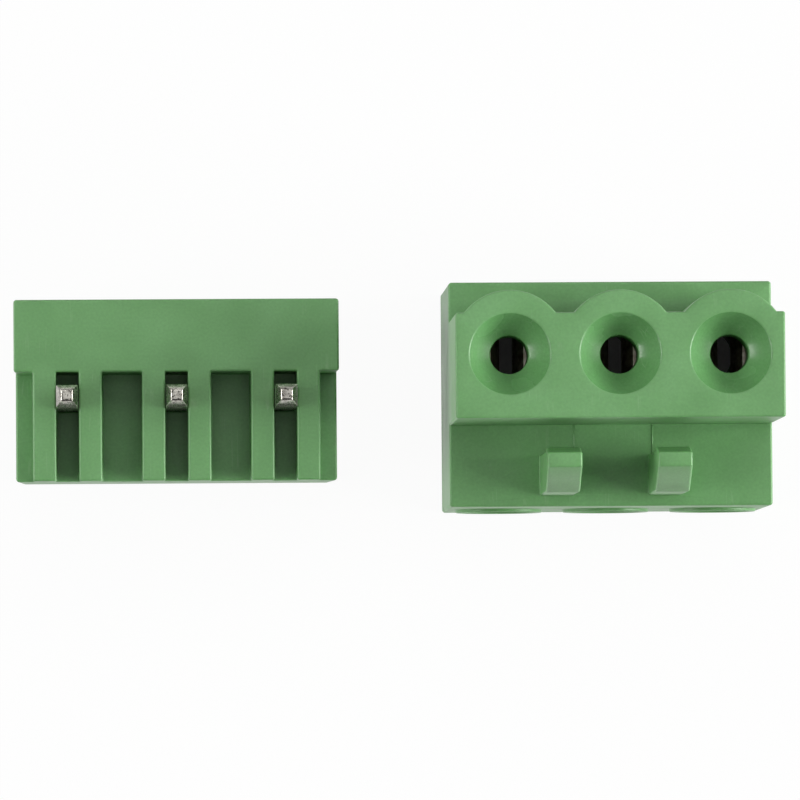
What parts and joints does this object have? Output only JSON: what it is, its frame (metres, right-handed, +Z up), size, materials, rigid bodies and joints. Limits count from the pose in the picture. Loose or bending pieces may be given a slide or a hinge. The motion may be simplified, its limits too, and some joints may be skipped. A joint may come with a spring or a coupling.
{
  "type": "pluggable terminal block",
  "caption": "Green pluggable terminal block: a screw plug with a lobed nose and latch hooks, and its straight board header, unplugged side by side.",
  "frame": {"origin": "on the surface that both halves stand on, under the middle of the pair's box", "axes": "+X along the row of poles, from the header to the plug; +Y from the screw and hook side to the lobed side; +Z up, from the plug's wire face to its nose and from the header's rim to its pins"},
  "size_m": [0.0356, 0.0106, 0.0182],
  "materials": {
    "green_polyamide": "fine moulded satin",
    "tinned_bronze": "dull tin plate",
    "plated_brass": "nickel-flashed brass",
    "zinc_steel": "blue zinc plate",
    "tinned_brass": "dull tin plate"
  },
  "bodies": {
    "root": {"plug_housing": "green_polyamide", "rear_cover": "green_polyamide", "contact_1": "tinned_bronze", "contact_2": "tinned_bronze", "contact_3": "tinned_bronze", "header_housing": "green_polyamide", "header_pin_1": "tinned_brass", "header_pin_2": "tinned_brass", "header_pin_3": "tinned_brass"},
    "screw_1": {"clamp_screw_1": "zinc_steel"},
    "cage_1": {"clamp_cage_1": "plated_brass"},
    "screw_2": {"clamp_screw_2": "zinc_steel"},
    "cage_2": {"clamp_cage_2": "plated_brass"},
    "screw_3": {"clamp_screw_3": "zinc_steel"},
    "cage_3": {"clamp_cage_3": "plated_brass"}
  },
  "joints": [
    {"name": "cage_lift_1", "type": "slide", "parent": "root", "child": "cage_1", "axis": [0, -1, 0], "range_m": [0, 0.0025]},
    {"name": "screw_turn_1", "type": "hinge", "parent": "root", "child": "screw_1", "pos_m": [0.0051, -0.00248, 0.005], "axis": [0, 1, 0], "range_deg": [0, 1800]},
    {"name": "cage_lift_2", "type": "slide", "parent": "root", "child": "cage_2", "axis": [0, -1, 0], "range_m": [0, 0.0025]},
    {"name": "screw_turn_2", "type": "hinge", "parent": "root", "child": "screw_2", "pos_m": [0.01018, -0.00248, 0.005], "axis": [0, 1, 0], "range_deg": [0, 1800]},
    {"name": "cage_lift_3", "type": "slide", "parent": "root", "child": "cage_3", "axis": [0, -1, 0], "range_m": [0, 0.0025]},
    {"name": "screw_turn_3", "type": "hinge", "parent": "root", "child": "screw_3", "pos_m": [0.01526, -0.00248, 0.005], "axis": [0, 1, 0], "range_deg": [0, 1800]}
  ],
  "couplings": [
    {"joint": "screw_turn_1", "follows": "cage_lift_1", "rad_per_m": 12566},
    {"joint": "screw_turn_2", "follows": "cage_lift_2", "rad_per_m": 12566},
    {"joint": "screw_turn_3", "follows": "cage_lift_3", "rad_per_m": 12566}
  ]
}
